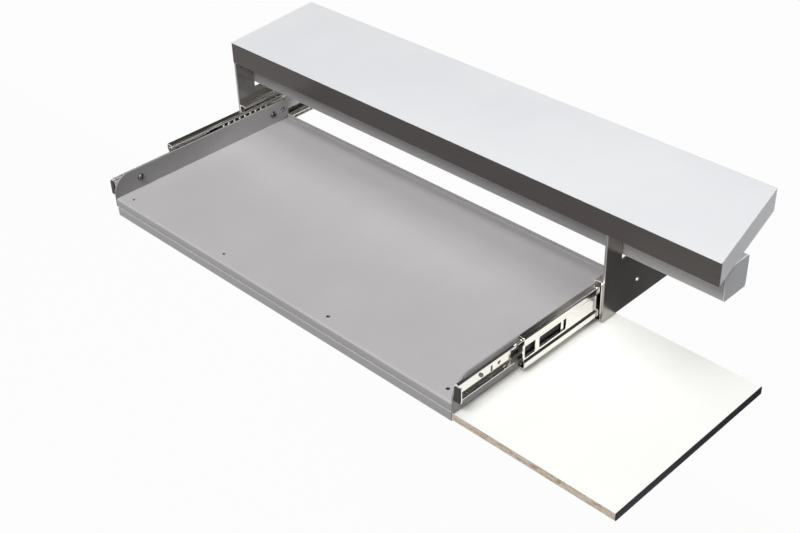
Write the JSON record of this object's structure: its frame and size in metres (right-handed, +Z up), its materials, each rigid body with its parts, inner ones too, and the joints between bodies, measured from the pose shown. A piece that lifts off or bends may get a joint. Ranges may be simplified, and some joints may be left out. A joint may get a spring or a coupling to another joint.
{
  "type": "pull-out keyboard shelf",
  "caption": "Sheet-steel keyboard tray on telescopic ball slides, hung by notched brackets from a worktop section, with a mouse board that slides out at one side.",
  "frame": {"origin": "middle between the two threaded holes in the rear face of the cross rail", "axes": "+X to the right along the rail, +Y to the back, away from the user, +Z up"},
  "size_m": [0.7085, 0.4405, 0.1342],
  "materials": {
    "white_laminate": "satin melamine",
    "backing_foil": "matt foil",
    "chipboard": "raw chipboard",
    "brown_edge_band": "satin grey-brown",
    "black_edge_band": "satin black",
    "grey_paint": "satin silver-grey powder coat",
    "dark_paint": "semi-gloss silver-grey powder coat",
    "black_plastic": "moulded",
    "white_plastic": "moulded",
    "zinc_steel": "bright zinc",
    "ball_steel": "polished"
  },
  "bodies": {
    "frame": {"worktop_core": "chipboard", "worktop_backing": "backing_foil", "worktop_laminate": "white_laminate", "worktop_front_band": "brown_edge_band", "worktop_end_bands": "white_laminate", "cross_rail": "grey_paint", "rail_end_caps": "white_plastic", "rail_rivet_nuts": "zinc_steel", "rail_screws": "zinc_steel", "bracket_left": "dark_paint", "bracket_right": "dark_paint", "bracket_screws": "zinc_steel", "outer_slide_left": "zinc_steel", "slide_screws_left": "zinc_steel", "rear_bumper_left": "black_plastic", "outer_slide_right": "zinc_steel", "slide_screws_right": "zinc_steel", "rear_bumper_right": "black_plastic"},
    "tray": {"tray_pan": "grey_paint", "front_guide": "grey_paint", "rear_guide": "grey_paint", "rear_keeper": "grey_paint", "front_guide_rivets": "grey_paint", "rear_guide_rivets": "grey_paint", "keeper_rivets": "grey_paint", "side_plate_left": "grey_paint", "side_rivets_left": "grey_paint", "tray_screws_left": "zinc_steel", "inner_slide_left": "zinc_steel", "front_bumper_left": "black_plastic", "lever_pin_left": "black_plastic", "side_plate_right": "grey_paint", "side_rivets_right": "grey_paint", "tray_screws_right": "zinc_steel", "inner_slide_right": "zinc_steel", "front_bumper_right": "black_plastic", "lever_pin_right": "black_plastic"},
    "middle_left": {"middle_slide_left": "zinc_steel"},
    "outer_race_left": {"outer_ball_cage_left": "zinc_steel", "outer_balls_left": "ball_steel"},
    "inner_race_left": {"inner_ball_cage_left": "zinc_steel", "inner_balls_left": "ball_steel"},
    "lever_left": {"release_lever_left": "black_plastic"},
    "middle_right": {"middle_slide_right": "zinc_steel"},
    "outer_race_right": {"outer_ball_cage_right": "zinc_steel", "outer_balls_right": "ball_steel"},
    "inner_race_right": {"inner_ball_cage_right": "zinc_steel", "inner_balls_right": "ball_steel"},
    "lever_right": {"release_lever_right": "black_plastic"},
    "mouse_board": {"board_core": "chipboard", "board_top": "white_laminate", "board_underside": "white_laminate", "board_end_bands": "black_edge_band", "board_stop": "black_plastic"}
  },
  "joints": [
    {"name": "tray_slide", "type": "slide", "parent": "frame", "child": "tray", "axis": [0, 1, 0], "range_m": [-0.061, 0.184]},
    {"name": "middle_left_slide", "type": "slide", "parent": "frame", "child": "middle_left", "axis": [0, 1, 0], "range_m": [-0.0351, 0.1053]},
    {"name": "outer_race_left_slide", "type": "slide", "parent": "frame", "child": "outer_race_left", "axis": [0, 1, 0], "range_m": [-0.0176, 0.0528]},
    {"name": "inner_race_left_slide", "type": "slide", "parent": "frame", "child": "inner_race_left", "axis": [0, 1, 0], "range_m": [-0.0481, 0.1448]},
    {"name": "lever_left_hinge", "type": "hinge", "parent": "tray", "child": "lever_left", "pos_m": [-0.2552, -0.1175, -0.0582], "axis": [1, 0, 0], "range_deg": [-5, 5], "stiffness_Nm_per_rad": 0.05},
    {"name": "middle_right_slide", "type": "slide", "parent": "frame", "child": "middle_right", "axis": [0, 1, 0], "range_m": [-0.0351, 0.1053]},
    {"name": "outer_race_right_slide", "type": "slide", "parent": "frame", "child": "outer_race_right", "axis": [0, 1, 0], "range_m": [-0.0176, 0.0528]},
    {"name": "inner_race_right_slide", "type": "slide", "parent": "frame", "child": "inner_race_right", "axis": [0, 1, 0], "range_m": [-0.0481, 0.1448]},
    {"name": "lever_right_hinge", "type": "hinge", "parent": "tray", "child": "lever_right", "pos_m": [0.2552, -0.1175, -0.0582], "axis": [1, 0, 0], "range_deg": [-5, 5], "stiffness_Nm_per_rad": 0.05},
    {"name": "mouse_board_slide", "type": "slide", "parent": "tray", "child": "mouse_board", "axis": [1, 0, 0], "range_m": [-0.487, 0]}
  ],
  "couplings": [
    {"joint": "middle_left_slide", "follows": "tray_slide", "ratio": 0.57143},
    {"joint": "outer_race_left_slide", "follows": "tray_slide", "ratio": 0.28571},
    {"joint": "inner_race_left_slide", "follows": "tray_slide", "ratio": 0.78571},
    {"joint": "middle_right_slide", "follows": "tray_slide", "ratio": 0.57143},
    {"joint": "outer_race_right_slide", "follows": "tray_slide", "ratio": 0.28571},
    {"joint": "inner_race_right_slide", "follows": "tray_slide", "ratio": 0.78571}
  ]
}
